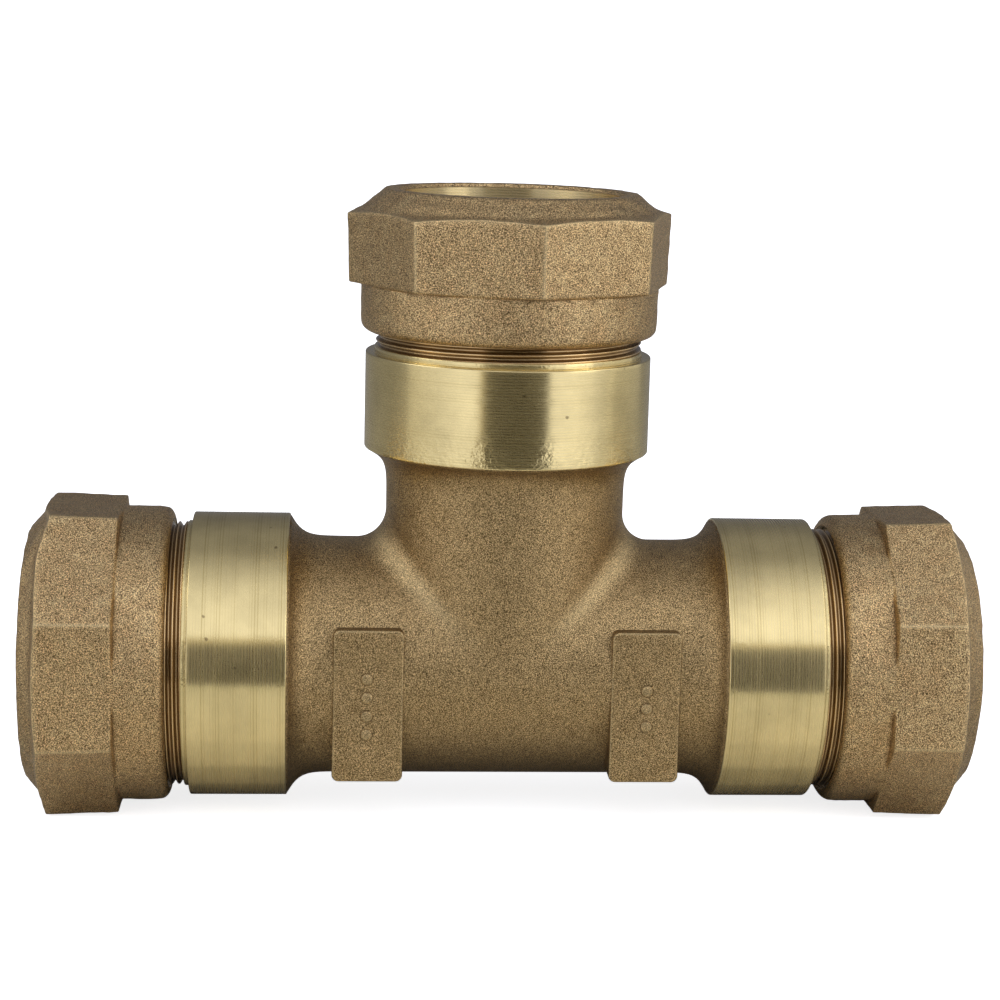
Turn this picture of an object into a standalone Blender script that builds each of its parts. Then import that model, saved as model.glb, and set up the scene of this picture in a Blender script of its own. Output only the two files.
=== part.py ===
"""Cast bronze compression tee for 2-inch copper-size tube, at rest with its three nuts a few turns loose.

Each outlet is built in one local frame: +Z runs outward along the outlet, +X faces the front, and the
origin is where the three outlet axes meet. Stations below are distances from that point along the outlet.
"""

import math

import bmesh
import bpy
from mathutils import Matrix, Vector

MM = 0.001
ROUND = 32  # segments in a turned part of the body and nuts
RING = 24  # segments in the rings inside each outlet
TURN = 24  # segments in one turn of thread

# Thread between nut and body: 14 turns to the inch, right-handed
PITCH = 25.4 / 14 * MM
BODY_CREST_R = 33.0 * MM
BODY_ROOT_R = 32.0 * MM
NUT_ROOT_R = 33.45 * MM
NUT_CREST_R = 32.45 * MM
THREAD_CLOCK = 0.29  # of a segment, between the thread's facets and the front

# Body
TUBE_R = 29.8 * MM
COLLAR_R = 35.5 * MM
COLLAR_START = 53.6 * MM
COLLAR_END = 77.5 * MM
LAND_R = 33.3 * MM
LAND_END = 78.9 * MM
SPIGOT_END = 95.5 * MM
WATERWAY_R = 25.0 * MM
SOCKET_R = 27.45 * MM
TUBE_STOP = 60.0 * MM
POCKET_R = 30.6 * MM
POCKET_START = 80.0 * MM
CROTCH_R = 7.5 * MM
DRAFT = 0.3 * MM  # taper of the branch, inside and out, towards the run
SHOULDER = ((7.0, 0.0), (4.2, 0.8), (2.4, 2.1), (1.0, 3.8), (0.1, 5.2))  # back from collar, above tube

# Raised plate on the front of each half of the run
PLATE_NEAR = 25.3 * MM
PLATE_FAR = 42.5 * MM
PLATE_TOP = 13.1 * MM
PLATE_BOTTOM = -24.8 * MM
PLATE_FRONT = 30.1 * MM
PLATE_BACK = 12.0 * MM
PLATE_CORNER = 1.6 * MM

# Nut
FACE = 117.7 * MM
FACE_R = 31.3 * MM
CONE = ((32.1, 117.15), (36.1, 113.3))  # radius, station of the chamfer's two ends
LEDGE_SLOPE = 0.26  # rise of the shallow ledge between chamfer and octagon, towards the axis
CORNER_START = 112.1 * MM
CORNER_R_OUT = 40.85 * MM
CORNER_R_IN = 40.3 * MM
OCTAGON_START = 95.0 * MM
SKIRT_TOP = 94.1 * MM
SKIRT_R = 36.8 * MM
SKIRT_END = 82.6 * MM
SKIRT_ROUND = ((36.8, 84.9), (36.4, 83.6), (35.6, 82.9), (34.5, 82.6))  # radius, station
LIP_R = 28.2 * MM
LIP_DEPTH = 1.0 * MM
CONE_OUT = 113.3 * MM
CONE_OUT_R = 29.3 * MM
CONE_IN = 104.0 * MM
CONE_IN_R = 32.2 * MM
RELIEF_OUT = 101.0 * MM
RELIEF_IN = 96.5 * MM
RELIEF_R = 33.9 * MM
MOUTH_R = 33.75 * MM  # clears the body's land when the nut is tight
MOUTH_END = 84.3 * MM
LEAD_END = 86.5 * MM
DRILLED_R = 31.5 * MM
SIDES = 8
TURN_OF_NUT = {"left": 22.5, "right": -24.7, "branch": 7.5}  # degrees, first corner from the front

# Rings inside the nut
BAND_START = 101.15 * MM
BAND_END = 112.7 * MM
BAND_R = 31.85 * MM
BAND_TIP_R = 29.15 * MM
BAND_BORE_R = 27.3 * MM
BAND_SPLIT = 3.0 * MM
WEDGE = 8.7 * MM
TEETH = 3
TOOTH = 0.8 * MM
SPACER_START = 99.2 * MM
SPACER_END = 100.8 * MM
GASKET_START = 88.7 * MM
GASKET_END = 98.85 * MM
GASKET_R = 30.2 * MM
GASKET_BORE_R = 27.2 * MM
GASKET_NOSE = 2.0 * MM
GROOVE_R = 29.1 * MM
GROOVE_WIDTH = 1.9 * MM
SPRING_STATION = 92.4 * MM
SPRING_R = 28.1 * MM
SPRING_WIRE_R = 0.55 * MM

FRONT = Vector((0, -1, 0))
OUTWARD = {"left": Vector((-1, 0, 0)), "right": Vector((1, 0, 0)), "branch": Vector((0, 0, 1))}

# The tee lies with its run level on the lowest edge of the right nut
LOWEST = max(abs(math.sin(math.radians(TURN_OF_NUT["right"] + 360 / SIDES * k))) for k in range(SIDES))
AXIS_HEIGHT = CORNER_R_OUT * LOWEST


def clear_scene():
    for obj in list(bpy.data.objects):
        bpy.data.objects.remove(obj, do_unlink=True)


def new_collection(name):
    made = bpy.data.collections.new(name)
    bpy.context.scene.collection.children.link(made)
    return made


def outlet_frame(outlet):
    """The local frame of an outlet: columns are front, sideways and outward."""
    outward = OUTWARD[outlet]
    sideways = outward.cross(FRONT)
    frame = Matrix((FRONT, sideways, outward)).transposed().to_4x4()
    frame.translation = Vector((0, 0, AXIS_HEIGHT))
    return frame


def put(name, mesh, collection, frame):
    obj = bpy.data.objects.new(name, mesh)
    obj.matrix_world = frame
    collection.objects.link(obj)
    return obj


def helper(name, mesh, frame):
    """A cutter, or a shape that is joined into another."""
    obj = put(name, mesh, bpy.data.collections["cutters"], frame)
    obj.hide_render = True
    obj.display_type = "WIRE"
    return obj


def turned_mesh(name, profile, steps, closed=False, clock=0.0):
    """Revolves (radius, station) points about local Z. The outer side runs from the high station down.
    clock turns the facets, in degrees, so that those of two joined shapes don't fall in line."""
    flat = bpy.data.meshes.new(name)
    across, along = math.cos(math.radians(clock)), math.sin(math.radians(clock))
    points = [(r * across, r * along, s) for r, s in profile]
    edges = [(i, i + 1) for i in range(len(points) - 1)]
    if closed:
        edges.append((len(points) - 1, 0))
    flat.from_pydata(points, edges, [])
    wheel = bpy.data.objects.new(name, flat)
    bpy.context.scene.collection.objects.link(wheel)
    screw = wheel.modifiers.new("turn", "SCREW")
    screw.steps = steps
    screw.render_steps = steps
    screw.use_merge_vertices = True
    screw.merge_threshold = 1e-5
    mesh = evaluated_mesh(wheel)
    bpy.data.objects.remove(wheel, do_unlink=True)
    bpy.data.meshes.remove(flat)
    return mesh


def evaluated_mesh(obj):
    graph = bpy.context.evaluated_depsgraph_get()
    graph.update()
    return bpy.data.meshes.new_from_object(obj.evaluated_get(graph))


def solid_profile(sides):
    """A profile closed onto the axis at both ends."""
    return [(0, sides[0][1]), *sides, (0, sides[-1][1])]


def boolean(obj, operation, other):
    modifier = obj.modifiers.new(other.name, "BOOLEAN")
    modifier.operation = operation
    modifier.solver = "EXACT"
    modifier.object = other


def settle(obj):
    """Makes the modifiers' result the object's own mesh, smooth but for its real edges."""
    mesh = evaluated_mesh(obj)
    obj.modifiers.clear()
    mesh.materials.clear()
    obj.data = mesh
    mesh.shade_smooth()
    mesh.set_sharp_from_angle(angle=math.radians(28))


def paint(obj, colour, metallic, roughness):
    material = bpy.data.materials.new(obj.name + "_finish")
    material.use_nodes = True
    shader = material.node_tree.nodes["Principled BSDF"]
    shader.inputs["Base Color"].default_value = (*colour, 1)
    shader.inputs["Metallic"].default_value = metallic
    shader.inputs["Roughness"].default_value = roughness
    obj.data.materials.clear()
    obj.data.materials.append(material)


def thread_mesh(name, root_r, crest_r, start, end):
    """A closed rod with a single right-handed V thread, over-long by a pitch at both ends."""
    turns = math.ceil((end - start) / PITCH) + 2
    rows = 2 * turns
    foot = (math.floor(start / PITCH) - 1) * PITCH
    made = bmesh.new()
    columns = []
    for j in range(TURN):
        turned = (j + THREAD_CLOCK) / TURN
        angle = 2 * math.pi * turned
        count = rows + 3 if j == 0 else rows + 1
        column = []
        for m in range(count):
            radius = crest_r if m % 2 else root_r
            station = foot + PITCH * (m / 2 + turned)
            column.append(made.verts.new((radius * math.cos(angle), radius * math.sin(angle), station)))
        columns.append(column)
    first, last = columns[0], columns[-1]
    for j in range(TURN - 1):
        for m in range(rows):
            made.faces.new((columns[j][m], columns[j + 1][m], columns[j + 1][m + 1], columns[j][m + 1]))
    for m in range(rows):
        made.faces.new((last[m], first[m + 2], first[m + 3], last[m + 1]))
    low = made.verts.new((0, 0, foot - PITCH))
    high = made.verts.new((0, 0, foot + PITCH * (turns + 2)))
    low_rim = [column[0] for column in columns] + [first[2], first[1]]
    high_rim = [column[rows] for column in columns[1:]] + [first[rows + 2], first[rows + 1], first[rows]]
    for i, vertex in enumerate(low_rim):
        made.faces.new((low, low_rim[(i + 1) % len(low_rim)], vertex))
    for i, vertex in enumerate(high_rim):
        made.faces.new((high, vertex, high_rim[(i + 1) % len(high_rim)]))
    mesh = bpy.data.meshes.new(name)
    made.to_mesh(mesh)
    made.free()
    return mesh


def body_thread(outlet):
    """The male thread of one spigot, cut square inside the collar and chamfered at its mouth."""
    start = COLLAR_END - 1.5 * MM
    rod = helper(
        f"{outlet}_male_thread",
        thread_mesh("male", BODY_ROOT_R, BODY_CREST_R, start, SPIGOT_END),
        outlet_frame(outlet),
    )
    lead = 1.2 * MM
    sides = [
        (BODY_ROOT_R - 0.3 * MM, SPIGOT_END),
        (BODY_ROOT_R - 0.3 * MM + lead, SPIGOT_END - lead),
        (BODY_CREST_R + 1 * MM, SPIGOT_END - 2 * lead),
        (BODY_CREST_R + 1 * MM, start),
    ]
    envelope = helper(
        f"{outlet}_thread_envelope",
        turned_mesh("envelope", solid_profile(sides), ROUND, clock=2.2),
        outlet_frame(outlet),
    )
    boolean(rod, "INTERSECT", envelope)
    return rod


def arm_profile():
    """Outer side of one arm, from its land down to the plain tube."""
    sides = [
        (BODY_ROOT_R - 0.5 * MM, LAND_END),
        (LAND_R, LAND_END),
        (LAND_R, COLLAR_END),
        (COLLAR_R - 0.3 * MM, COLLAR_END),
        (COLLAR_R, COLLAR_END - 0.3 * MM),
        (COLLAR_R, COLLAR_START + 0.2 * MM),
    ]
    for back, above in reversed(SHOULDER):
        sides.append((TUBE_R + above * MM, COLLAR_START - back * MM))
    return sides


def bore_profile():
    """Outer side of the hollow in one arm, from beyond its mouth down to the waterway."""
    return [
        (POCKET_R + 1.0 * MM, SPIGOT_END + 0.2 * MM),
        (POCKET_R, SPIGOT_END - 0.8 * MM),
        (POCKET_R, POCKET_START + POCKET_R - SOCKET_R),
        (SOCKET_R, POCKET_START),
        (SOCKET_R, TUBE_STOP),
        (WATERWAY_R, TUBE_STOP),
    ]


def both_ways(sides):
    """A side profile followed by its mirror image in the plane of the branch."""
    return sides + [(r, -s) for r, s in reversed(sides)]


def crotch(side):
    """Fillet where run and branch meet on one side, lofted through slices parallel to the front."""
    slices = 13
    arc = 5
    reach = 0.97 * TUBE_R
    tuck = 0.25 * MM
    made = bmesh.new()
    rings = []
    for i in range(slices + 1):
        y = reach * math.cos(math.pi * i / slices)
        corner = math.sqrt(TUBE_R**2 - y**2) - tuck
        radius = CROTCH_R * (1 - (abs(y) / TUBE_R) ** 4)
        inside = corner - 0.35 * radius - 0.5 * MM
        section = [(inside, inside), (corner + radius, inside)]
        for k in range(arc + 1):
            angle = math.pi / 2 * k / arc
            section.append(
                (corner + radius * (1 - math.sin(angle)), corner + radius * (1 - math.cos(angle)))
            )
        section.append((inside, corner + radius))
        rings.append([made.verts.new((side * x, y, z)) for x, z in section])
    count = len(rings[0])
    for low, high in zip(rings, rings[1:]):
        for k in range(count):
            made.faces.new((low[k], low[(k + 1) % count], high[(k + 1) % count], high[k]))
    made.faces.new(rings[0])
    made.faces.new(rings[-1])
    bmesh.ops.recalc_face_normals(made, faces=made.faces)
    mesh = bpy.data.meshes.new("crotch")
    made.to_mesh(mesh)
    made.free()
    return mesh


def plate(side):
    """Raised flat plate with rounded corners, standing on the front of the run."""
    width = PLATE_FAR - PLATE_NEAR
    height = PLATE_TOP - PLATE_BOTTOM
    made = bmesh.new()
    bmesh.ops.create_cube(made, size=1)
    middle = Vector(
        (side * (PLATE_NEAR + PLATE_FAR) / 2, -(PLATE_FRONT + PLATE_BACK) / 2, (PLATE_TOP + PLATE_BOTTOM) / 2)
    )
    bmesh.ops.scale(made, vec=(width, PLATE_FRONT - PLATE_BACK, height), verts=made.verts)
    bmesh.ops.translate(made, vec=middle, verts=made.verts)
    upright = [e for e in made.edges if abs(e.verts[0].co.y - e.verts[1].co.y) > MM]
    bmesh.ops.bevel(made, geom=upright, offset=PLATE_CORNER, segments=2, affect="EDGES", profile=0.5)
    mesh = bpy.data.meshes.new("plate")
    made.to_mesh(mesh)
    made.free()
    return mesh


def build_body(collection):
    centre = Matrix.Translation((0, 0, AXIS_HEIGHT))
    run = outlet_frame("right")
    branch = outlet_frame("branch")
    body = put(
        "tee_body", turned_mesh("run", solid_profile(both_ways(arm_profile())), ROUND), collection, run
    )
    neck = turned_mesh("neck", solid_profile([*arm_profile(), (TUBE_R - DRAFT, 0)]), ROUND, clock=3.1)
    boolean(body, "UNION", helper("branch_neck", neck, branch))
    for side in (-1, 1):
        boolean(body, "UNION", helper(f"crotch_{side}", crotch(side), centre))
        boolean(body, "UNION", helper(f"plate_{side}", plate(side), centre))
    for outlet in OUTWARD:
        boolean(body, "UNION", body_thread(outlet))
    run_bore = turned_mesh("run_bore", solid_profile(both_ways(bore_profile())), ROUND, clock=1.7)
    boolean(body, "DIFFERENCE", helper("run_waterway", run_bore, run))
    branch_sides = [*bore_profile(), (WATERWAY_R - DRAFT, 0)]
    branch_bore = turned_mesh("branch_bore", solid_profile(branch_sides), ROUND, clock=4.1)
    boolean(body, "DIFFERENCE", helper("branch_waterway", branch_bore, branch))
    settle(body)
    paint(body, (0.24, 0.14, 0.065), 0.85, 0.42)


def octagon_ring(made, corner_r, station, turn, slope=0.0):
    """Points round an octagon, equally spaced along its sides. slope raises those nearer the axis."""
    per_side = 4
    ring = []
    corners = [math.radians(turn + 360 / SIDES * k) for k in range(SIDES)]
    for k, angle in enumerate(corners):
        here = Vector((math.cos(angle), math.sin(angle), 0)) * corner_r
        following = corners[(k + 1) % SIDES]
        there = Vector((math.cos(following), math.sin(following), 0)) * corner_r
        for i in range(per_side):
            point = here.lerp(there, i / per_side)
            rise = slope * (corner_r - point.length)
            ring.append(made.verts.new((point.x, point.y, station + rise)))
    return ring


def circle_ring(made, radius, station, turn, count):
    ring = []
    for i in range(count):
        angle = math.radians(turn) + 2 * math.pi * i / count
        ring.append(made.verts.new((radius * math.cos(angle), radius * math.sin(angle), station)))
    return ring


def nut_blank(turn):
    """Solid outside of a nut: round skirt, octagon with casting draft, ledge, conical chamfer, end face."""
    made = bmesh.new()
    outer = octagon_ring(made, CORNER_R_OUT, CORNER_START, turn, LEDGE_SLOPE)
    inner = octagon_ring(made, CORNER_R_IN, OCTAGON_START, turn)
    count = len(outer)
    rings = [circle_ring(made, FACE_R, FACE, turn, count)]
    for radius, station in CONE:
        rings.append(circle_ring(made, radius * MM, station * MM, turn, count))
    rings += [outer, inner, circle_ring(made, SKIRT_R, SKIRT_TOP, turn, count)]
    for radius, station in SKIRT_ROUND:
        rings.append(circle_ring(made, radius * MM, station * MM, turn, count))
    for high, low in zip(rings, rings[1:]):
        for k in range(count):
            made.faces.new((low[k], low[(k + 1) % count], high[(k + 1) % count], high[k]))
    made.faces.new(rings[0])
    made.faces.new(list(reversed(rings[-1])))
    mesh = bpy.data.meshes.new("nut_blank")
    made.to_mesh(mesh)
    made.free()
    return mesh


def nut_hollow():
    """Everything turned out of a nut before it is tapped: lip, bore, wedge cone, relief and mouth."""
    over = 0.2 * MM
    return [
        (LIP_R + over, FACE + over),
        (LIP_R, FACE - 0.1 * MM),
        (SOCKET_R, FACE - LIP_DEPTH),
        (SOCKET_R, CONE_OUT),
        (CONE_OUT_R, CONE_OUT),
        (CONE_IN_R, CONE_IN),
        (CONE_IN_R, RELIEF_OUT),
        (RELIEF_R, RELIEF_OUT),
        (RELIEF_R, RELIEF_IN),
        (DRILLED_R, RELIEF_IN),
        (DRILLED_R, LEAD_END),
        (MOUTH_R, MOUTH_END),
        (MOUTH_R, SKIRT_END - over),
    ]


def build_nut(outlet, collection):
    frame = outlet_frame(outlet)
    nut = put(f"{outlet}_nut", nut_blank(TURN_OF_NUT[outlet]), collection, frame)
    hollow = turned_mesh("hollow", solid_profile(nut_hollow()), ROUND, clock=1.3)
    boolean(nut, "DIFFERENCE", helper(f"{outlet}_nut_hollow", hollow, frame))
    tap_start = MOUTH_END - 0.6 * MM
    tap_end = RELIEF_IN + 0.7 * MM
    tap = helper(
        f"{outlet}_nut_tap", thread_mesh("tap", NUT_CREST_R, NUT_ROOT_R, tap_start, tap_end), frame
    )
    sides = [(NUT_ROOT_R + 1 * MM, tap_end), (NUT_ROOT_R + 1 * MM, tap_start)]
    ends = turned_mesh("ends", solid_profile(sides), ROUND, clock=3.3)
    boolean(tap, "INTERSECT", helper(f"{outlet}_tap_ends", ends, frame))
    boolean(nut, "DIFFERENCE", tap)
    settle(nut)
    paint(nut, (0.33, 0.21, 0.09), 0.85, 0.4)


def build_band(outlet, collection):
    """Split stainless gripper band: wedge outside to suit the nut's cone, teeth inside."""
    length = BAND_END - BAND_START
    behind = BAND_BORE_R + TOOTH
    profile = [(BAND_TIP_R, BAND_END), (BAND_R, BAND_END - WEDGE), (BAND_R, BAND_START), (behind, BAND_START)]
    for k in range(TEETH):
        profile.append((BAND_BORE_R, BAND_START + length * (k + 0.15) / TEETH))
        profile.append((behind, BAND_START + length * (k + 0.75) / TEETH))
    profile.append((BAND_BORE_R + 0.3 * MM, BAND_END))
    frame = outlet_frame(outlet)
    band = put(f"{outlet}_gripper_band", turned_mesh("band", profile, RING, closed=True), collection, frame)
    cut = bmesh.new()
    bmesh.ops.create_cube(cut, size=1)
    across = 3 * (BAND_R - BAND_BORE_R)
    middle = Vector((-(BAND_R + BAND_BORE_R) / 2, 0, (BAND_START + BAND_END) / 2))
    bmesh.ops.scale(cut, vec=(across, BAND_SPLIT, 1.2 * length), verts=cut.verts)
    bmesh.ops.translate(cut, vec=middle, verts=cut.verts)
    mesh = bpy.data.meshes.new("split")
    cut.to_mesh(mesh)
    cut.free()
    boolean(band, "DIFFERENCE", helper(f"{outlet}_band_split", mesh, frame))
    settle(band)
    paint(band, (0.56, 0.56, 0.55), 1.0, 0.3)


def build_spacer(outlet, collection):
    profile = [
        (GASKET_R, SPACER_END),
        (GASKET_R, SPACER_START),
        (GASKET_BORE_R + 0.6 * MM, SPACER_START),
        (GASKET_BORE_R + 0.6 * MM, SPACER_END),
    ]
    frame = outlet_frame(outlet)
    ring = put(f"{outlet}_spacer_ring", turned_mesh("spacer", profile, RING, closed=True), collection, frame)
    settle(ring)
    paint(ring, (0.62, 0.46, 0.2), 1.0, 0.35)


def build_gasket(outlet, collection):
    """Rubber gasket with a bevelled nose and an inner groove for the conductivity spring."""
    groove_in = SPRING_STATION - GROOVE_WIDTH / 2
    groove_out = SPRING_STATION + GROOVE_WIDTH / 2
    profile = [
        (GASKET_R, GASKET_END),
        (GASKET_R, GASKET_START + GASKET_NOSE),
        (GASKET_R - 0.9 * GASKET_NOSE, GASKET_START),
        (GASKET_BORE_R, GASKET_START),
        (GASKET_BORE_R, groove_in),
        (GROOVE_R, groove_in),
        (GROOVE_R, groove_out),
        (GASKET_BORE_R, groove_out),
        (GASKET_BORE_R, GASKET_END),
    ]
    frame = outlet_frame(outlet)
    gasket = put(f"{outlet}_gasket", turned_mesh("gasket", profile, RING, closed=True), collection, frame)
    settle(gasket)
    paint(gasket, (0.012, 0.012, 0.013), 0.0, 0.6)


def build_spring(outlet, collection):
    """Ring of spring wire that carries current from tube to body through the gasket."""
    around = 6
    profile = []
    for k in range(around):
        angle = -2 * math.pi * (k + 0.5) / around + math.pi / 2
        profile.append(
            (SPRING_R + SPRING_WIRE_R * math.cos(angle), SPRING_STATION + SPRING_WIRE_R * math.sin(angle))
        )
    name = f"{outlet}_conductivity_spring"
    spring = put(name, turned_mesh(name, profile, RING, closed=True), collection, outlet_frame(outlet))
    settle(spring)
    paint(spring, (0.7, 0.45, 0.22), 1.0, 0.28)


def main():
    clear_scene()
    collection = new_collection("compression_tee")
    new_collection("cutters").hide_render = True
    build_body(collection)
    for outlet in OUTWARD:
        build_nut(outlet, collection)
        build_band(outlet, collection)
        build_spacer(outlet, collection)
        build_gasket(outlet, collection)
        build_spring(outlet, collection)


main()
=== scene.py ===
"""Looks for the compression tee: cast bronze body and nuts with turned collars, threads and bores."""

import math

import bmesh
import bpy
import numpy as np
from mathutils import Matrix, Vector


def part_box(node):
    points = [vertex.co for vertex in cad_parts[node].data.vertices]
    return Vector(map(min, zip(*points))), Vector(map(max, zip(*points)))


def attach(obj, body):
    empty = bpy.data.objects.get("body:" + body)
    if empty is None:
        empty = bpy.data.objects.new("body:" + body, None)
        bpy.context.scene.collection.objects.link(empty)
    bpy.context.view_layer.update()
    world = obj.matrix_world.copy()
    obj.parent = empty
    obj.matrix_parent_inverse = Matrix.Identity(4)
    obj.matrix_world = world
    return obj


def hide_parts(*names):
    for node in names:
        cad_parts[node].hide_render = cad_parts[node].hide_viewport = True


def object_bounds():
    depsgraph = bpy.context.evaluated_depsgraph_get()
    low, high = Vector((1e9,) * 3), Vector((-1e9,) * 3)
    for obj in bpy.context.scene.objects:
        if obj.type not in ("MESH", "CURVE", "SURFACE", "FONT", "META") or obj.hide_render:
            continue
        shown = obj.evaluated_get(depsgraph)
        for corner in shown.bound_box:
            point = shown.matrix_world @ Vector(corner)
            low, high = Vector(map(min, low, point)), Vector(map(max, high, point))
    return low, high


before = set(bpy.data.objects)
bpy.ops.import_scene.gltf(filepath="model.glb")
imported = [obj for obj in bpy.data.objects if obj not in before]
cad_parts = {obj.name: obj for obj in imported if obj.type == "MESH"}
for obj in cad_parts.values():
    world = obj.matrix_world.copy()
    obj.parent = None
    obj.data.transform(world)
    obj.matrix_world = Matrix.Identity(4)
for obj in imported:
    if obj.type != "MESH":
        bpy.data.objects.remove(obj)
CAD_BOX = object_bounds()

# Sizes are in millimetres. A station is the distance out along an outlet from where the axes meet.
MM = 0.001
PITCH = 25.4 / 14
TUBE_R, COLLAR_R, COLLAR_START, COLLAR_END = 29.8, 35.5, 53.6, 77.5
LAND_R, LAND_END, SPIGOT_END = 33.3, 78.9, 95.5
WATERWAY_R, SOCKET_R, TUBE_STOP, POCKET_R, POCKET_START = 25.0, 27.45, 60.0, 30.6, 80.0
CASTING_END, PLATE_BACK_R = 54.2, 27.4
FACE, FACE_R, CORNER_OUT, CORNER_IN = 117.7, 29.6, 40.85, 40.3
OCTAGON_START, SKIRT_R = 95.0, 36.8
NUT_THREAD_START, NUT_THREAD_END = 84.3, 96.5
CORNER_STATION = {"left": (112.6, 0.0, 0), "right": (111.9, 0.4, 90), "branch": (112.1, 0.45, 95)}
KNOCKED_CORNER = {"left": (67.5, 1.4)}
SKIRT_MERGE = {"left": 0.5, "right": 1.0, "branch": 0.5}
TURN_OF_NUT = {"left": 22.5, "right": -24.7, "branch": 7.5}
OUTWARD = {"left": (-1, 0, 0), "right": (1, 0, 0), "branch": (0, 0, 1)}
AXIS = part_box("branch_nut")[1].z - FACE * MM


# ---------------------------------------------------------------- meshes


def outlet_frame(outlet):
    """Frame with z out along the outlet and x to the front."""
    front = Vector((0, -1, 0))
    outward = Vector(OUTWARD[outlet])
    turned = Matrix((front, outward.cross(front), outward)).transposed().to_4x4()
    turned.translation = Vector((0, 0, AXIS))
    return turned


def place(points, outlet):
    """Millimetres in an outlet's frame to metres in the row frame, kept inside the CAD's box."""
    m = np.array(outlet_frame(outlet))
    return np.clip(points * MM @ m[:3, :3].T + m[:3, 3], *map(np.array, CAD_BOX))


def linked(name, data):
    obj = bpy.data.objects.new(name, data)
    bpy.context.scene.collection.objects.link(obj)
    return obj


def mesh_object(name, points, faces, materials, slots=None, sharp=30):
    mesh = bpy.data.meshes.new(name)
    mesh.from_pydata([tuple(p) for p in points], [], [tuple(int(i) for i in f) for f in faces])
    for material in materials:
        mesh.materials.append(material)
    if slots is not None:
        mesh.polygons.foreach_set("material_index", np.asarray(slots, np.int32))
    mesh.validate()
    mesh.shade_smooth()
    if sharp:
        mesh.set_sharp_from_angle(angle=math.radians(sharp))
    return linked(name, mesh)


def put_attribute(obj, name, values):
    """Gives each vertex a number that the materials read, such as painted shade, or wear and painted
    highlight.
    """
    held = obj.data.attributes.new(name, "FLOAT", "POINT")
    held.data.foreach_set("value", np.asarray(values, np.float32))


def grid_faces(rows, columns, closed):
    """Quads of a grid whose columns close round the axis, and whose rows do too where closed."""
    faces = []
    for i in range(rows if closed else rows - 1):
        a, b = i * columns, (i + 1) % rows * columns
        for j in range(columns):
            k = (j + 1) % columns
            faces.append((a + j, b + j, b + k, a + k))
    return faces


def revolved(angle, r, s):
    """Points at these angles, radii and stations, as an array of rows round the axis."""
    angle, r, s = np.broadcast_arrays(angle, r, s)
    return np.stack([r * np.cos(angle), r * np.sin(angle), s], 2)


def turned(name, profile, outlet, material, count=160, sharp=30):
    """A closed ring from (radius, station) points, given down the outer side and up the inner."""
    profile = np.array(profile, float)
    angle = 2 * np.pi * np.arange(count) / count
    points = revolved(angle, profile[:, :1], profile[:, 1:]).reshape(-1, 3)
    faces = grid_faces(len(profile), count, True)
    return mesh_object(name, place(points, outlet), faces, [material], sharp=sharp)


def arc(r, s, radius, start, end, steps=5):
    """Points on a small arc in (radius, station), for a rounded edge."""
    a = np.radians(np.linspace(start, end, steps))
    return [(r + radius * math.cos(t), s + radius * math.sin(t)) for t in a]


def thread_height(angle, station):
    """0 at the root of the thread and 1 at its crest."""
    u = np.mod(station / PITCH - angle / (2 * np.pi), 1)
    return np.clip(1.45 * (1 - 2 * np.abs(u - 0.5)) - 0.22, 0, 1)


def ripple(points, wavelength):
    """Smooth irregular waves in space, roughly between -1 and 1."""
    total = 0
    for k in range(9):
        a, b = 2.4 * k + 0.3, 0.7 * k + 0.5
        heading = np.array([math.cos(a) * math.cos(b), math.sin(a) * math.cos(b), math.sin(b)])
        total = total + np.sin(2 * np.pi / wavelength * (1 + 0.07 * k) * points @ heading + 1.9 * k)
    return total / 4


def rides(obj, body, replaces=()):
    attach(obj, body)
    if replaces:
        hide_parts(*replaces)


# ---------------------------------------------------------------- materials


def set_stops(band, stops):
    """Gives a colour ramp its stops, whose colours may be plain numbers for greys."""
    while len(band.elements) < len(stops):
        band.elements.new(0.5)
    for element, (at, colour) in zip(band.elements, stops):
        element.position = at
        element.color = (*colour, 1) if hasattr(colour, "__len__") else (colour, colour, colour, 1)


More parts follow.
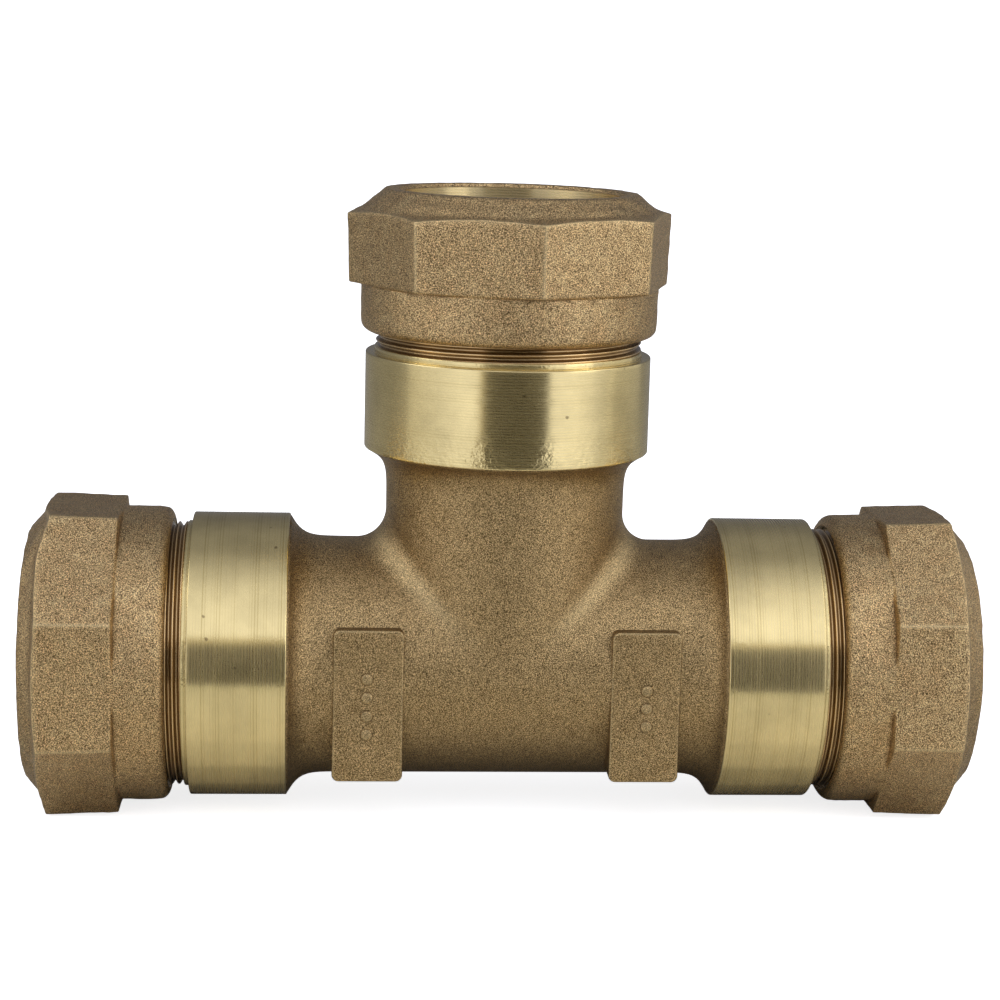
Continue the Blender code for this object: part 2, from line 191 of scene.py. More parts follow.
class Nodes:
    """A short way to write a material's nodes."""

    def __init__(self, name):
        self.material = bpy.data.materials.new(name)
        self.material.use_nodes = True
        self.tree = self.material.node_tree
        self.shader = self.tree.nodes["Principled BSDF"]
        straight = self.add("ShaderNodeTexCoord").outputs["Object"]
        aslant = self.add("ShaderNodeMapping", {"Vector": straight, "Rotation": (0.5, 0.8, 0.3)})
        self.place = aslant.outputs["Vector"]

    def add(self, kind, inputs=(), **settings):
        made = self.tree.nodes.new(kind)
        for key, value in settings.items():
            setattr(made, key, value)
        for key, value in dict(inputs).items():
            if isinstance(value, bpy.types.NodeSocket):
                self.tree.links.new(value, made.inputs[key])
            else:
                made.inputs[key].default_value = value
        return made

    def noise(self, scale, detail=2.0, roughness=0.5):
        inputs = {"Vector": self.place, "Scale": scale, "Detail": detail, "Roughness": roughness}
        return self.add("ShaderNodeTexNoise", inputs).outputs["Fac"]

    def noise_along(self, distance, scale, detail, roughness):
        inputs = {"W": distance, "Scale": scale, "Detail": detail, "Roughness": roughness}
        return self.add("ShaderNodeTexNoise", inputs, noise_dimensions="1D").outputs["Fac"]

    def ramp(self, value, stops):
        made = self.add("ShaderNodeValToRGB", {"Fac": value})
        set_stops(made.color_ramp, stops)
        return made.outputs["Color"]

    def mix(self, factor, a, b, blend="MIX"):
        made = self.add("ShaderNodeMix", data_type="RGBA", blend_type=blend)
        colours = [s for s in made.inputs if s.type == "RGBA"]
        for target, value in ((made.inputs[0], factor), (colours[0], a), (colours[1], b)):
            if isinstance(value, bpy.types.NodeSocket):
                self.tree.links.new(value, target)
            else:
                target.default_value = (*value, 1) if target.type == "RGBA" else value
        return [s for s in made.outputs if s.type == "RGBA"][0]

    def math(self, operation, a, b=0.0):
        return self.add("ShaderNodeMath", {0: a, 1: b}, operation=operation).outputs[0]

    def attribute(self, name):
        return self.add("ShaderNodeAttribute", attribute_name=name).outputs["Fac"]

    def bump(self, height, distance, strength=1.0, normal=None):
        inputs = {"Height": height, "Distance": distance, "Strength": strength}
        if normal is not None:
            inputs["Normal"] = normal
        return self.add("ShaderNodeBump", inputs).outputs["Normal"]

    def finish(self, metallic, **links):
        self.shader.inputs["Metallic"].default_value = metallic
        for key, value in links.items():
            socket = self.shader.inputs[key.replace("_", " ")]
            if isinstance(value, bpy.types.NodeSocket):
                self.tree.links.new(value, socket)
            else:
                socket.default_value = value
        return self.material


def cast_bronze(name, light, middle, dark, painted_shade, contrast):
    """Sand-cast bronze: fine bright and dark grain, slow mottling and pits, lighter edges and crests as
    wear and painted highlight, and painted shade in hollows.
    """
    n = Nodes(name)
    grain = n.noise(5300, 0.0)
    speck = n.noise(7000, 0.0)
    pit = n.ramp(n.noise(420, 1.0, 0.5), [(0.785, 0.0), (0.81, 0.6)])
    mottle = n.noise(260, 4.0, 0.6)
    cloud = n.noise(30, 3.0, 0.5)
    tone = n.ramp(mottle, [(0.28, dark), (0.5, middle), (0.74, light)])
    tone = n.mix(n.ramp(cloud, [(0.35, 0.0), (0.65, 0.7)]), tone, middle)
    fleck = n.ramp(grain, [(0.33, 0.1), (0.5, 0.78), (0.67, 2.3)])
    tone = n.mix(contrast, tone, fleck, "MULTIPLY")
    # Lighter bronze where the worn attribute says: wear and painted highlight on edges, painted highlight
    # on saddle crests and raised dots.
    tone = n.mix(n.attribute("wear_and_highlight"), tone, n.mix(0.5, tone, (0.62, 0.50, 0.27)))
    # Painted shade from the grime attribute and real casting pits both mix towards the given dark colour.
    tone = n.mix(n.math("MAXIMUM", n.attribute("painted_shade"), pit), tone, painted_shade)
    height = n.math("ADD", grain, n.math("MULTIPLY", speck, 0.6))
    fine = n.bump(height, 0.00009, 1.0)
    slow = n.bump(n.noise(420, 3.0, 0.55), 0.0003, 0.12, fine)
    rough = n.ramp(speck, [(0.3, 0.48), (0.7, 0.3)])
    return n.finish(1.0, Base_Color=tone, Roughness=rough, Normal=slow)


def turned_brass(name, axis, colour, deep, lines=1.0):
    """Turned brass with fine tool lines round it, spaced by the station attribute."""
    n = Nodes(name)
    station = n.attribute("station")
    wander = n.math("MULTIPLY", n.noise(40, 2.0), 0.08)
    along = n.math("ADD", station, wander)
    close = n.noise_along(along, 4.5, 3.0, 0.85)
    group = n.noise_along(along, 0.35, 2.0, 0.5)
    feed = n.math("SINE", n.math("MULTIPLY", along, 9.0))
    line = n.math("ADD", n.math("MULTIPLY", close, 0.75), n.math("MULTIPLY", feed, 0.11))
    strong = n.ramp(group, [(0.46, 0.1), (0.6, 1.0)])
    pit = n.ramp(n.noise(330, 0.0), [(0.845, 0.0), (0.86, 0.6)])
    stain = n.noise(70, 4.0, 0.6)
    tone = n.ramp(line, [(0.22, deep), (0.4, colour), (0.8, colour)])
    tone = n.mix(n.math("MULTIPLY", strong, 0.8 * lines), colour, tone)
    tone = n.mix(0.4, tone, n.ramp(stain, [(0.35, 0.6), (0.6, 1.0)]), "MULTIPLY")
    # Painted shade from the grime attribute, and real pits, darken towards a dark brown.
    tone = n.mix(n.math("MAXIMUM", n.attribute("painted_shade"), pit), tone, (0.10, 0.055, 0.02))
    bump = n.bump(line, 0.00004, n.math("MULTIPLY", strong, 0.8 * lines))
    rough_patch = n.bump(n.noise(700, 2.0, 0.6), 0.00018, n.attribute("chatter"), bump)
    rough = n.ramp(line, [(0.25, 0.29), (0.6, 0.22)])
    round_it = n.add("ShaderNodeTangent", direction_type="RADIAL", axis=axis).outputs[0]
    return n.finish(
        1.0,
        Base_Color=tone,
        Roughness=rough,
        Normal=rough_patch,
        Anisotropic=0.8,
        Anisotropic_Rotation=0.25,
        Tangent=round_it,
    )


def plain_metal(name, colour, low, high, scale=900):
    n = Nodes(name)
    cloud = n.noise(scale, 3.0, 0.6)
    tone = n.mix(0.5, colour, n.ramp(cloud, [(0.3, 0.55), (0.65, 1.0)]), "MULTIPLY")
    rough = n.ramp(cloud, [(0.3, high), (0.7, low)])
    bump = n.bump(cloud, 0.00005, 0.5)
    return n.finish(1.0, Base_Color=tone, Roughness=rough, Normal=bump)


def black_rubber(name):
    n = Nodes(name)
    cloud = n.noise(1400, 3.0, 0.6)
    tone = n.ramp(cloud, [(0.3, (0.008, 0.008, 0.009)), (0.7, (0.022, 0.022, 0.023))])
    bump = n.bump(cloud, 0.00006, 0.6)
    return n.finish(0.0, Base_Color=tone, Roughness=n.ramp(cloud, [(0.3, 0.7), (0.7, 0.5)]), Normal=bump)


# Dark colour of the cast bronze's painted shade, also used for its pits.
SHADE_AND_PITS = (0.065, 0.037, 0.016)
NUT_CAST = cast_bronze("nut_cast", (0.56, 0.39, 0.2), (0.48, 0.33, 0.16), (0.39, 0.26, 0.12), SHADE_AND_PITS, 0.95)
BODY_CAST = cast_bronze(
    "body_cast", (0.43, 0.305, 0.148), (0.38, 0.265, 0.123), (0.31, 0.21, 0.094), SHADE_AND_PITS, 0.85
)
AXIS_OF = {"left": "X", "right": "X", "branch": "Z"}
BRASS, DEEP_BRASS = (0.84, 0.68, 0.33), (0.48, 0.36, 0.13)
COLLAR_TURNED = {
    a: turned_brass(f"collar_turned_{a}", a, BRASS, DEEP_BRASS, lines)
    for a, lines in (("X", 0.8), ("Z", 0.35))
}
THREAD_TURNED = {
    a: turned_brass(f"thread_turned_{a}", a, (0.80, 0.56, 0.28), (0.45, 0.29, 0.12), 0.5) for a in "XZ"
}
NUT_TURNED = {
    a: turned_brass(f"nut_turned_{a}", a, (0.90, 0.72, 0.38), (0.50, 0.38, 0.17), 0.3) for a in "XZ"
}
BAND_STEEL = plain_metal("band_steel", (0.60, 0.60, 0.59), 0.22, 0.4)
SPACER_BRASS = plain_metal("spacer_brass_turned", (0.70, 0.54, 0.27), 0.25, 0.42)
SPRING_WIRE = plain_metal("spring_wire", (0.72, 0.50, 0.27), 0.2, 0.35)
GASKET_RUBBER = black_rubber("gasket_black")


# ---------------------------------------------------------------- cast body


def flare(back):
    """How far the casting stands above its tube, this far back from the collar."""
    return 5.35 * np.exp(-((np.maximum(back, 0) / 2.5) ** 1.15))


def body_field(p):
    """Below zero inside the casting. Points are millimetres from where the outlet axes meet."""
    x, y, z = p[:, 0], p[:, 1], p[:, 2]
    run = np.sqrt(y * y + z * z)
    branch = np.sqrt(x * x + y * y)
    from_run = run - TUBE_R - flare(COLLAR_START - np.abs(x))
    from_branch = branch - TUBE_R - flare(COLLAR_START - z) + np.maximum(-z, 0) ** 2 / 15
    # The fillet between the two tubes is wide in the crotches and fades where they face the same way.
    same = np.clip(y * y / np.maximum(run * branch, 1), 0, 1)
    fillet = 7.1 * (1 - same) ** 1.5 + 0.8
    u, v = np.maximum(fillet - from_run, 0), np.maximum(fillet - from_branch, 0)
    outside = np.maximum(fillet, np.minimum(from_run, from_branch)) - np.sqrt(u * u + v * v)
    hollow = np.minimum(run, np.where(z > 0, branch, 99)) - WATERWAY_R
    return np.maximum.reduce([outside, -hollow, np.abs(x) - CASTING_END, z - CASTING_END])


def settle_on(field, points, rounds=6):
    """Moves points onto the field's zero surface along its slope."""
    step = 1e-3
    for _ in range(rounds):
        here = field(points)
        rises = [field(points + step * axis) - field(points - step * axis) for axis in np.eye(3)]
        slope = np.stack(rises, 1) / (2 * step)
        size = np.maximum((slope * slope).sum(1), 0.2)
        move = slope * (here / size)[:, None]
        reach = np.linalg.norm(move, axis=1, keepdims=True)
        points = points - move * np.minimum(1, 0.8 / np.maximum(reach, 1e-9))
    return points


def evaluated(obj):
    graph = bpy.context.evaluated_depsgraph_get()
    graph.update()
    return bpy.data.meshes.new_from_object(obj.evaluated_get(graph))


def plain_turned(sides, outlet, name):
    """A solid of revolution closed onto its axis, used only to start the casting's mesh."""
    made = bmesh.new()
    count = 72
    angle = 2 * np.pi * np.arange(count) / count
    rings = []
    for r, s in sides:
        rings.append([made.verts.new(Vector((r * math.cos(a), r * math.sin(a), s))) for a in angle])
    for high, low in zip(rings, rings[1:]):
        for j in range(count):
            k = (j + 1) % count
            made.faces.new((low[j], low[k], high[k], high[j]))
    made.faces.new(rings[0])
    made.faces.new(list(reversed(rings[-1])))
    mesh = bpy.data.meshes.new(name)
    made.to_mesh(mesh)
    made.free()
    turn = outlet_frame(outlet)
    turn.translation = Vector((0, 0, 0))
    mesh.transform(turn)
    return linked(name, mesh)


def cast_body():
    flared = [(TUBE_R + float(flare(b)), COLLAR_START - b) for b in (0, 0.8, 1.6, 2.6, 4, 6, 9)]
    arm = [(flared[0][0], CASTING_END), *flared]
    parts = {
        "run": arm + [(r, -s) for r, s in reversed(arm)],
        "neck": [*arm, (TUBE_R - 0.2, 0)],
        "run_hole": [(WATERWAY_R, 60), (WATERWAY_R, -60)],
        "neck_hole": [(WATERWAY_R - 0.1, 60), (WATERWAY_R - 0.1, 0)],
    }
    made = {k: plain_turned(v, "right" if "run" in k else "branch", k) for k, v in parts.items()}
    start = made["run"]
    for other, operation in (("neck", "UNION"), ("run_hole", "DIFFERENCE"), ("neck_hole", "DIFFERENCE")):
        modifier = start.modifiers.new(other, "BOOLEAN")
        modifier.operation = operation
        modifier.solver = "EXACT"
        modifier.object = made[other]
    remesh = start.modifiers.new("remesh", "REMESH")
    remesh.mode = "VOXEL"
    remesh.voxel_size = 1.0
    mesh = evaluated(start)
    for obj in made.values():
        bpy.data.objects.remove(obj, do_unlink=True)
    points = np.empty(len(mesh.vertices) * 3, np.float32)
    mesh.vertices.foreach_get("co", points)
    points = settle_on(body_field, points.reshape(-1, 3).astype(float))
    run = np.hypot(points[:, 1], points[:, 2])
    branch = np.hypot(points[:, 0], points[:, 1])
    mesh.vertices.foreach_set("co", (points * MM + (0, 0, AXIS)).astype(np.float32).ravel())
    mesh.update()
    mesh.materials.clear()
    mesh.materials.append(BODY_CAST)
    mesh.shade_smooth()
    body = linked("cast_body", mesh)
    # Painted shade: a narrow band where the casting meets each collar, the waterway inside, and the
    # underside, darker towards the bottom.
    hollow = np.minimum(run, np.where(points[:, 2] > 0, branch, 99)) < WATERWAY_R + 0.5
    edge = np.exp(-(((COLLAR_START - np.maximum(np.abs(points[:, 0]), points[:, 2])) / 1.2) ** 2))
    underside_shade = np.clip((-points[:, 2] - 16) / 12, 0, 1)
    put_attribute(body, "painted_shade", np.clip(0.25 * edge + 0.5 * hollow + 0.3 * underside_shade, 0, 1))
    # Painted highlight: a lighter band along each saddle crest.
    crest = np.exp(-(((np.abs(points[:, 0]) - points[:, 2]) / 3) ** 2))
    crest = crest * np.clip((points[:, 2] - 9) / 8, 0, 1)
    put_attribute(body, "wear_and_highlight", 0.45 * crest * ~hollow)
    rides(body, "tee", ["tee_body"])


def cast_plate(side):
    """Raised flat plate on the front of the run, with a column of plain raised dots."""
    near, far, top, bottom, front, thick = 25.3, 42.5, 13.1, -24.8, -30.1, 18
    made = bmesh.new()
    bmesh.ops.create_cube(made, size=1)
    bmesh.ops.scale(made, vec=(far - near, thick, top - bottom), verts=made.verts)
    centre = (side * (near + far) / 2, front + thick / 2, (top + bottom) / 2)
    bmesh.ops.translate(made, vec=centre, verts=made.verts)
    upright = [e for e in made.edges if abs(e.verts[0].co.y - e.verts[1].co.y) > 1]
    bmesh.ops.bevel(made, geom=upright, offset=1.7, segments=6, affect="EDGES", profile=0.5)
    rim = [e for e in made.edges if all(v.co.y < front + 0.1 for v in e.verts)]
    bmesh.ops.bevel(made, geom=rim, offset=0.6, segments=4, affect="EDGES", profile=0.5)
    # The back is cut into strips and curved, so that it ends inside the casting's wall.
    for z in np.arange(bottom + 2, top, 2):
        whole = made.verts[:] + made.edges[:] + made.faces[:]
        bmesh.ops.bisect_plane(made, geom=whole, plane_co=(0, 0, z), plane_no=(0, 0, 1))
    for v in made.verts:
        if v.co.y > front + thick - 1:
            v.co.y = -math.sqrt(PLATE_BACK_R**2 - v.co.z**2)
    middle = side * 34.2
    plain = len(made.verts)
    count = 24
    turn = 2 * np.pi * np.arange(count) / count
    for z in (0.9, -3.7, -8.3, -12.9) if side < 0 else (-1.6, -6.1, -10.6):
        rings = []
        for y, radius in ((0.03, 1.6), (-0.45, 1.35), (-0.6, 1.1), (-0.65, 0.8)):
            circle = [(middle + radius * math.cos(a), front + y, z + radius * math.sin(a)) for a in turn]
            rings.append([made.verts.new(Vector(p)) for p in circle])
        for low, high in zip(rings, rings[1:]):
            for j in range(count):
                k = (j + 1) % count
                made.faces.new((low[j], low[k], high[k], high[j]))
        made.faces.new(rings[-1])
    bmesh.ops.scale(made, vec=(MM, MM, MM), verts=made.verts)
    bmesh.ops.translate(made, vec=(0, 0, AXIS), verts=made.verts)
    mesh = bpy.data.meshes.new("plate")
    made.to_mesh(mesh)
    made.free()
    mesh.materials.append(BODY_CAST)
    mesh.shade_smooth()
    mesh.set_sharp_from_angle(angle=math.radians(40))
    plate = linked("cast_plate_" + ("left" if side < 0 else "right"), mesh)
    # Painted shade darkens the plate's walls towards the casting and rings each dot's foot as painted
    # shadow. The front rim is lighter as wear and painted highlight, the dots' tops as painted highlight.
    depth = np.array([v.co.y for v in mesh.vertices]) / MM - front
    mark_foot_shadow = (np.arange(len(depth)) >= plain) & (depth > 0)
    put_attribute(plate, "painted_shade", np.maximum(0.7 * np.clip(depth / 0.9, 0, 1) ** 2, 0.9 * mark_foot_shadow))
    put_attribute(plate, "wear_and_highlight", 0.5 * ((depth > 0.02) & (depth < 0.3)) + 0.4 * (depth < -0.3))
    rides(plate, "tee")


# ---------------------------------------------------------------- turned end of each outlet


def stations(obj, outlet):
    """Distance out along the outlet and from its axis of each vertex, in millimetres."""
    m = np.array(outlet_frame(outlet).inverted())
    co = np.array([v.co for v in obj.data.vertices])
    local = (co @ m[:3, :3].T + m[:3, 3]) / MM
    return local[:, 2], np.hypot(local[:, 0], local[:, 1])


def turned_end(outlet):
    profile = [(30.9, SPIGOT_END), (31.75, SPIGOT_END - 0.9), (31.75, LAND_END), (32.6, LAND_END)]
    profile += arc(LAND_R - 0.25, LAND_END - 0.25, 0.25, 90, 0, 4)
    profile += [(LAND_R, COLLAR_END + 0.1), (LAND_R + 0.1, COLLAR_END)]
    profile += arc(COLLAR_R - 0.3, COLLAR_END - 0.3, 0.3, 90, 0, 5)
    profile += [(COLLAR_R, s) for s in np.linspace(76.5, 54.6, 12)]
    profile += arc(COLLAR_R - 0.35, COLLAR_START + 0.35, 0.35, 0, -90, 4)
    profile += [(34.0, COLLAR_START), (WATERWAY_R + 0.1, COLLAR_START)]
    profile += [(WATERWAY_R + 0.1, TUBE_STOP - 0.3), (WATERWAY_R + 0.4, TUBE_STOP)]
    profile += [(SOCKET_R, TUBE_STOP), (SOCKET_R, POCKET_START)]
    profile += [(POCKET_R, POCKET_START + POCKET_R - SOCKET_R), (POCKET_R, SPIGOT_END - 0.3)]
    metal = COLLAR_TURNED[AXIS_OF[outlet]]
    obj = turned(f"{outlet}_turned_end", profile, outlet, metal, count=192, sharp=35)
    s, r = stations(obj, outlet)
    put_attribute(obj, "station", s)
    # Painted shade on every face nearer the axis than the land, inside the nut.
    put_attribute(obj, "painted_shade", np.clip((r < 32.5) * 0.75, 0, 1))
    on_land = (r > 32.5) & (s > COLLAR_END + 0.05)
    near_cast = np.clip((62.5 - s) / 7, 0, 1) * (r > 33) * (1.0 if outlet == "branch" else 0.12)
    put_attribute(obj, "chatter", 0.5 * on_land + near_cast)
    rides(obj, "tee")


def male_thread(outlet):
    rows = np.arange(LAND_END - 0.15, SPIGOT_END - 0.2, PITCH / 16)
    count = 160
    angle = 2 * np.pi * np.arange(count) / count
    s = rows[:, None] + 0 * angle
    fade = np.clip((SPIGOT_END - 0.25 - rows) / 1.2, 0, 1)[:, None]
    height = thread_height(angle, s)
    r = 32.0 - 0.5 * (1 - fade) + 1.0 * height * fade
    points = revolved(angle, r, s).reshape(-1, 3)
    faces = [tuple(reversed(f)) for f in grid_faces(len(rows), count, False)]
    metal = THREAD_TURNED[AXIS_OF[outlet]]
    obj = mesh_object(f"{outlet}_male_thread", place(points, outlet), faces, [metal], sharp=0)
    put_attribute(obj, "station", s.ravel())
    # Painted shade on the thread's flanks, and a little in its roots.
    put_attribute(obj, "painted_shade", (0.65 * np.sqrt(4 * height * (1 - height)) + 0.2 * (1 - height)).ravel())
    rides(obj, "tee")


# ---------------------------------------------------------------- nut


def octagon_r(angle, turn, corner_r, power):
    """Radius of an octagon with softly rounded corners."""
    flat = corner_r * math.cos(math.pi / 8)
    facing = np.radians(turn + 22.5 + 45 * np.arange(8))
    c = np.maximum(np.cos(angle[..., None] - facing), 0)
    return flat / np.power(np.power(c, power).sum(-1), 1 / power)


def nut_angles(turn, per_side=26):
    """Directions round the nut, closer together near its corners."""
    t = np.linspace(-1, 1, per_side, endpoint=False)
    t = np.sign(t) * (1 - (1 - np.abs(t)) ** 2.2)
    side = np.radians(22.5) * t
    return np.radians(turn + 22.5) + (np.radians(45 * np.arange(8))[:, None] + side).ravel()


def corner_station(outlet, angle):
    """Station where a nut's ledge meets its corners. Each casting leans a little, and one is knocked."""
    middle, lean, highest = CORNER_STATION[outlet]
    station = middle + lean * np.cos(angle - math.radians(highest))
    for at, depth in [KNOCKED_CORNER[outlet]] if outlet in KNOCKED_CORNER else []:
        away = np.angle(np.exp(1j * (angle - math.radians(at))))
        station = station - depth * np.exp(-((away / 0.17) ** 2))
    return station


def chamfer(r, corner):
    """Station of a nut's outer end at a radius: a round-edged cone, then a ledge to the octagon."""
    edge = [(FACE_R, FACE), (30.9, 117.69), (31.4, 117.58), (31.8, 117.33)]
    edge += [(32.2, 116.94), (42.2, 108.14)]
    cone = np.interp(r, *zip(*edge))
    ledge = corner + 0.26 * (CORNER_OUT - r)
    return 0.5 * (cone + ledge + np.sqrt((cone - ledge) ** 2 + 0.12))


def nut(outlet):
    turn = TURN_OF_NUT[outlet]
    angle = nut_angles(turn)
    soft = octagon_r(angle, turn, 1.0, 260)
    circle = np.ones_like(angle)
    corner = corner_station(outlet, angle)
    rows = []  # radius and station round the nut, and 0 for cast, 1 for turned, 2 for threaded
    end = OCTAGON_START - 0.1

    def row(r, s, kind=0):
        rows.append((r * circle, s * circle, kind))

    # the bore's edge and the end face
    for r, s in ((27.6, 1.0), (28.0, 0.8), (28.15, 0.35), (28.4, 0.08), (28.8, 0), (FACE_R, 0)):
        row(r, FACE - s)
    # the chamfer and the ledge, out to the octagon
    outer = CORNER_OUT * soft
    for t in np.linspace(0.04, 0.97, 22):
        r = FACE_R + t * (outer - FACE_R)
        row(r, np.minimum(chamfer(r, corner), FACE))
    edge = chamfer(outer, corner)
    row(outer - 0.09, edge - 0.04)
    row(outer, edge - 0.25)
    # the octagon's sides
    inner = CORNER_IN * soft
    for t in np.linspace(0.06, 0.97, 11):
        row(outer + t * (inner - outer), edge - 0.25 + t * (end + 0.3 - edge + 0.25))
    row(inner - 0.04, end + 0.12)
    row(inner - 0.25, end - 0.05)
    # the step down to the skirt, which runs into the middle of each flat
    from_middle = np.abs(np.mod(angle - math.radians(turn), np.pi / 4) - np.pi / 8)
    merge = np.clip((math.radians(12) - from_middle) / math.radians(8), 0, 1)
    merge = SKIRT_MERGE[outlet] * merge * merge * (3 - 2 * merge) * np.maximum(inner - 0.25 - SKIRT_R, 0)
    for t in (0.2, 0.5, 0.8, 0.95):
        row(inner - 0.25 + t * (SKIRT_R + merge + 0.1 - inner), end - 0.05 - 0.45 * t)
    for s in (94.0, 93.4, 92.6, 91.6, 90.4, 89.0, 87.5, 86.2):
        row(SKIRT_R + merge * math.exp((s - 94.3) / 2.2), s)
    # the skirt's rounded end, the thread, the recess for the rings, the cone and the tube bore
    for a in np.radians(np.linspace(0, 90, 9)):
        row(33.95 + 2.7 * math.cos(a), 84.85 - 2.25 * math.sin(a))
    row(33.8, 82.75, 1)
    row(33.75, NUT_THREAD_START, 1)
    for s in np.arange(NUT_THREAD_START + PITCH / 10, NUT_THREAD_END, PITCH / 10):
        root = max(32.45, 33.75 - (s - NUT_THREAD_START) * 0.9)
        row(root, s, 2)
    recess = [(33.9, NUT_THREAD_END), (33.9, 101.0), (32.2, 101.0), (32.2, 104.0), (29.3, 113.3)]
    for r, s in (*recess, (SOCKET_R, 113.3), (SOCKET_R, 116.65)):
        row(r, s, 1)
    r = np.array([q[0] for q in rows])
    s = np.array([q[1] for q in rows])
    kind = np.array([q[2] for q in rows])[:, None]
    crest = np.minimum(r + thread_height(angle, s), np.maximum(33.45, r))
    r = np.where(kind == 2, crest, r)
    cast = kind == 0
    points = revolved(angle, r, s)
    swell = ripple(points + 50 * turn, 7.0) * 0.07 + ripple(points + 90 * turn, 3.2) * 0.035
    outside = cast & (r > 28.6)
    r = r + np.where(outside, swell, 0)
    s = s + np.where(outside & (s > FACE - 7), swell, 0)
    points = revolved(angle, r, s).reshape(-1, 3)
    faces = grid_faces(len(rows), len(angle), True)
    slots = np.repeat((kind[:, 0] > 0).astype(int), len(angle))
    metals = [NUT_CAST, NUT_TURNED[AXIS_OF[outlet]]]
    obj = mesh_object(f"{outlet}_nut_casting", place(points, outlet), faces, metals, slots, sharp=48)
    # The worn attribute lightens the octagon's corners and its ledge edge, as wear and painted highlight.
    flat_r = math.cos(math.pi / 8)
    crease = np.clip((soft - flat_r) / (soft.max() - flat_r), 0, 1) ** 30
    on_octagon = cast & (r > SKIRT_R + 0.25) & (s > OCTAGON_START - 0.6) & (s < 113.6)
    rim = np.exp(-(((s - edge) / 0.3) ** 2))
    wear_and_highlight = np.where(on_octagon, 0.9 * crease + 0.8 * rim, 0)
    put_attribute(obj, "wear_and_highlight", np.clip(wear_and_highlight, 0, 1).ravel())
    # Painted shadow on the skirt under the octagon's step, and painted shade on the turned faces deep in
    # the bore.
    step_shadow = np.exp(-(((s - end + 0.5) / 0.3) ** 2)) * (r < SKIRT_R + 0.6) * (from_middle > 0.2)
    inside = (kind > 0) * (s < FACE - 5) * 0.6
    put_attribute(obj, "painted_shade", np.clip(0.3 * step_shadow * cast + inside, 0, 1).ravel())
    put_attribute(obj, "station", s.ravel())
    rides(obj, f"{outlet}_turning_nut", [f"{outlet}_nut"])


# ---------------------------------------------------------------- rings inside the nut


def gripper_band(outlet):
    """Split stainless band with three teeth; the split faces the back or underside."""
    start, end, bore = 101.15, 112.7, 27.3
    profile = [(29.15, end), (31.85, end - 8.7), (31.85, start), (bore + 0.8, start)]
    length = end - start
    for k in range(3):
        profile.append((bore, start + length * (k + 0.15) / 3))
        profile.append((bore + 0.8, start + length * (k + 0.75) / 3))
    profile.append((bore + 0.3, end))
    profile = np.array(profile)
    half = 1.5 / 29.5  # half the split, as an angle
    angle = np.linspace(math.pi + half, 3 * math.pi - half, 140)
    points = revolved(angle, profile[:, :1], profile[:, 1:]).reshape(-1, 3)
    rows, columns = len(profile), len(angle)
    faces = []
    for i in range(rows):
        a, b = i * columns, (i + 1) % rows * columns
        for j in range(columns - 1):
            faces.append((a + j, b + j, b + j + 1, a + j + 1))
    faces.append([i * columns for i in reversed(range(rows))])
    faces.append([i * columns + columns - 1 for i in range(rows)])
    obj = mesh_object(f"{outlet}_band", place(points, outlet), faces, [BAND_STEEL], sharp=25)
    rides(obj, f"{outlet}_pack", [f"{outlet}_gripper_band"])


def soft_rings(outlet):
    profile = [(30.0, 100.8), (30.2, 100.6), (30.2, 99.4), (30.0, 99.2)]
    profile += [(28.0, 99.2), (27.8, 99.4), (27.8, 100.6), (28.0, 100.8)]
    spacer = turned(f"{outlet}_spacer", profile, outlet, SPACER_BRASS)
    rides(spacer, f"{outlet}_pack", [f"{outlet}_spacer_ring"])
    profile = [(29.8, 98.85), (30.2, 98.45), (30.2, 90.8), (30.0, 90.4), (28.6, 88.8), (28.2, 88.7)]
    profile += [(27.4, 88.7), (27.2, 88.9), (27.2, 91.45), (29.1, 91.45), (29.1, 93.35), (27.2, 93.35)]
    profile += [(27.2, 98.6), (27.5, 98.85)]
    gasket = turned(f"{outlet}_rubber", profile, outlet, GASKET_RUBBER)
    rides(gasket, f"{outlet}_pack", [f"{outlet}_gasket"])
    turn = np.radians(np.arange(90, -270, -30))
    wire = [(28.1 + 0.55 * math.cos(a), 92.4 + 0.55 * math.sin(a)) for a in turn]
    spring = turned(f"{outlet}_spring", wire, outlet, SPRING_WIRE, sharp=0)
    rides(spring, f"{outlet}_pack", [f"{outlet}_conductivity_spring"])


# ---------------------------------------------------------------- studio


def panel(name, corners, colour, strength=0.0):
    """A flat card of the studio."""
    mesh = bpy.data.meshes.new(name)
    count = len(corners) // 2
    faces = [(k, k + 1, count + k + 1, count + k) for k in range(count - 1)]
    mesh.from_pydata([tuple(c) for c in corners], [], faces)
    material = bpy.data.materials.new(name)
    material.use_nodes = True
    shader = material.node_tree.nodes["Principled BSDF"]
    shader.inputs["Base Color"].default_value = (*colour, 1)
    shader.inputs["Roughness"].default_value = 1.0
    shader.inputs["Specular IOR Level"].default_value = 0.0
    shader.inputs["Emission Color"].default_value = (*colour, 1)
    shader.inputs["Emission Strength"].default_value = strength
    mesh.materials.append(material)
    obj = linked(name, mesh)
    return obj


def soft_box(name, where, aim, size, power):
    data = bpy.data.lights.new(name, "AREA")
    data.size = size
    data.energy = power
    box = linked(name, data)
    box.location = Vector(where)
    box.rotation_euler = (Vector(aim) - Vector(where)).to_track_quat("-Z", "Y").to_euler()


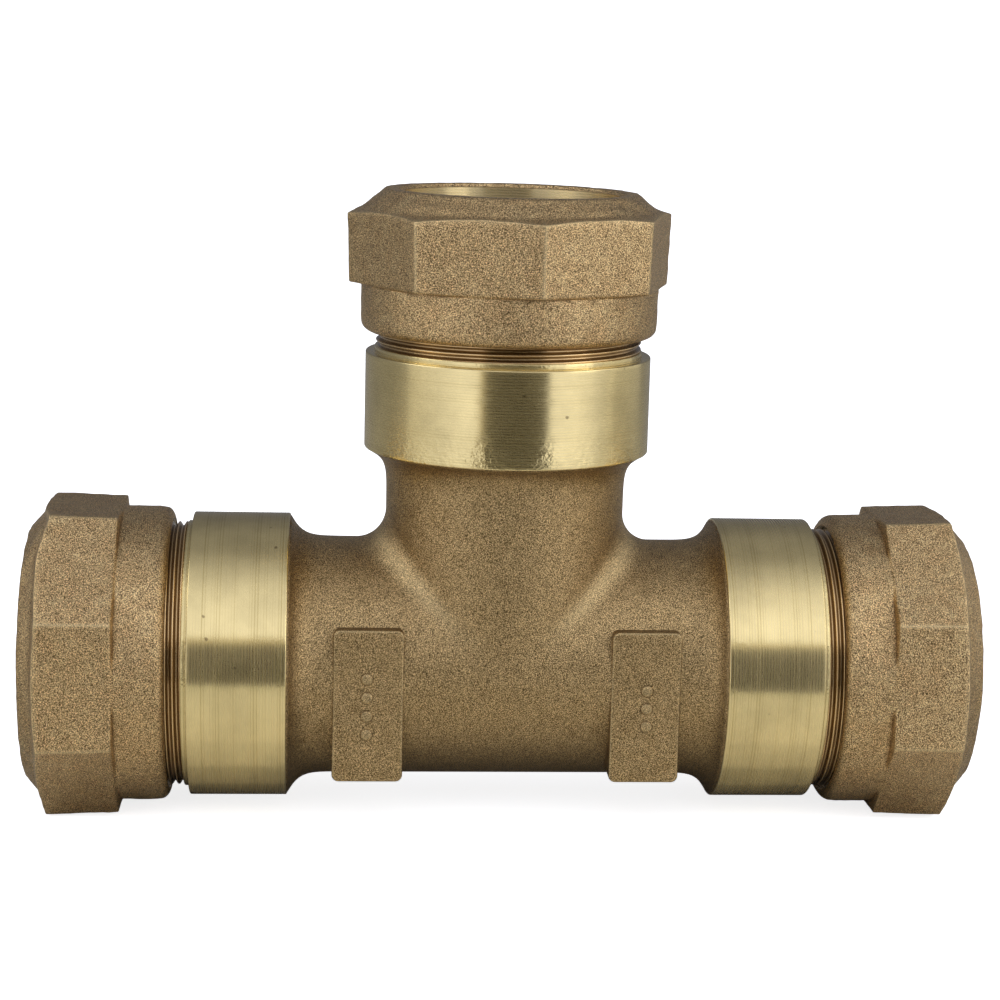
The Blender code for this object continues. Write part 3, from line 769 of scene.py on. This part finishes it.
def tent_light():
    """A light tent round the fitting: bright towards the front, dim behind."""
    world = bpy.data.worlds.new("light_tent")
    world.use_nodes = True
    tree = world.node_tree
    back = tree.nodes["Background"]
    direction = tree.nodes.new("ShaderNodeTexCoord").outputs["Generated"]
    split = tree.nodes.new("ShaderNodeSeparateXYZ")
    tree.links.new(direction, split.inputs[0])
    span = tree.nodes.new("ShaderNodeMapRange")
    span.inputs["From Min"].default_value = -1
    tree.links.new(split.outputs["Y"], span.inputs["Value"])
    ramp = tree.nodes.new("ShaderNodeValToRGB")
    tree.links.new(span.outputs["Result"], ramp.inputs["Fac"])
    greys = [(0.12, 0.98), (0.30, 0.68), (0.45, 0.44), (0.62, 0.27), (0.80, 0.22), (0.95, 0.13)]
    set_stops(ramp.color_ramp, [(at, (0.97 * grey, grey, 1.13 * grey)) for at, grey in greys])
    tree.links.new(ramp.outputs["Color"], back.inputs["Color"])
    back.inputs["Strength"].default_value = 1.2
    bpy.context.scene.world = world


def studio():
    """Paper under the fitting, greyer beneath it as painted shadow, a dark card as painted shade for the
    tent's front opening, and a white sweep for the camera.
    """
    tent_light()
    under = -0.0003
    front = [(-3, -0.26), (-0.25, -0.26), (0.25, -0.13), (3, -0.13)]
    # The paper is greyer towards and under the fitting: painted shadow, seen only in reflections.
    for back, grey in ((-0.045, 0.92), (-0.028, 0.82), (-0.016, 0.62), (3, 0.42)):
        behind = [(x, back) for x, _ in front]
        corners = [(x, y, under) for x, y in front + behind]
        panel("paper", corners, (grey, 0.98 * grey, 0.9 * grey)).visible_camera = False
        front = behind
    # A dark card stands in for the tent's unlit front opening: painted shade, seen only in reflections.
    opening = [(-0.24, -0.6, -0.3), (0.335, -0.6, -0.3), (-0.24, -0.6, 0.266), (0.335, -0.6, 0.256)]
    panel("front_opening", opening, (0.085, 0.065, 0.02)).visible_camera = False
    rim = [(-0.285, -0.62, -0.3), (0.34, -0.62, -0.3), (-0.285, -0.62, 0.335), (0.34, -0.62, 0.3)]
    panel("opening_rim", rim, (0.36, 0.30, 0.17), 1.0).visible_camera = False
    side = [(0.9, -0.08, -0.1), (0.9, 0.7, -0.1), (0.9, -0.08, 0.6), (0.9, 0.7, 0.6)]
    panel("side_card", side, (0.44, 0.44, 0.44), 1.0).visible_camera = False
    curve = [(1.5 + math.sin(a), 1 - math.cos(a)) for a in np.radians(range(10, 91, 10))]
    rows = [(-8, 0), (1.5, 0), *curve, (2.5, 4)]
    sweep = panel("sweep", [(x, y, z) for x in (-4, 4) for y, z in rows], (1, 1, 1), 0.8)
    sweep.visible_diffuse = False
    sweep.visible_glossy = False
    sweep.visible_transmission = False
    sweep.visible_shadow = False
    soft_box("front_box", (0.75, -0.45, 0.4), (0, 0, 0.07), 0.4, 0.9)
    soft_box("left_box", (-0.7, -0.1, 0.6), (0, 0, 0.07), 0.5, 1.5)
    soft_box("right_box", (0.7, -0.1, 0.6), (0, 0, 0.07), 0.5, 0.9)


def camera():
    """The lens, place and turn that fit the photograph."""
    data = bpy.data.cameras.new("camera")
    data.sensor_width = 36
    data.lens = 90.95
    data.shift_x = -0.09
    obj = linked("camera", data)
    right = Vector((0.995, -0.09482, 0.03132))
    up = Vector((-0.01352, 0.18283, 0.98305))
    back = right.cross(up).normalized()
    up = back.cross(right).normalized()
    turn = Matrix((right.normalized(), up, back)).transposed().to_4x4()
    turn.translation = Vector((-0.0416, -0.62539, 0.15578 + AXIS))
    obj.matrix_world = turn
    bpy.context.scene.camera = obj


camera()
studio()
cast_body()
for side in (-1, 1):
    cast_plate(side)
for outlet in OUTWARD:
    turned_end(outlet)
    male_thread(outlet)
    nut(outlet)
    gripper_band(outlet)
    soft_rings(outlet)

bpy.context.scene.view_settings.view_transform = "Standard"
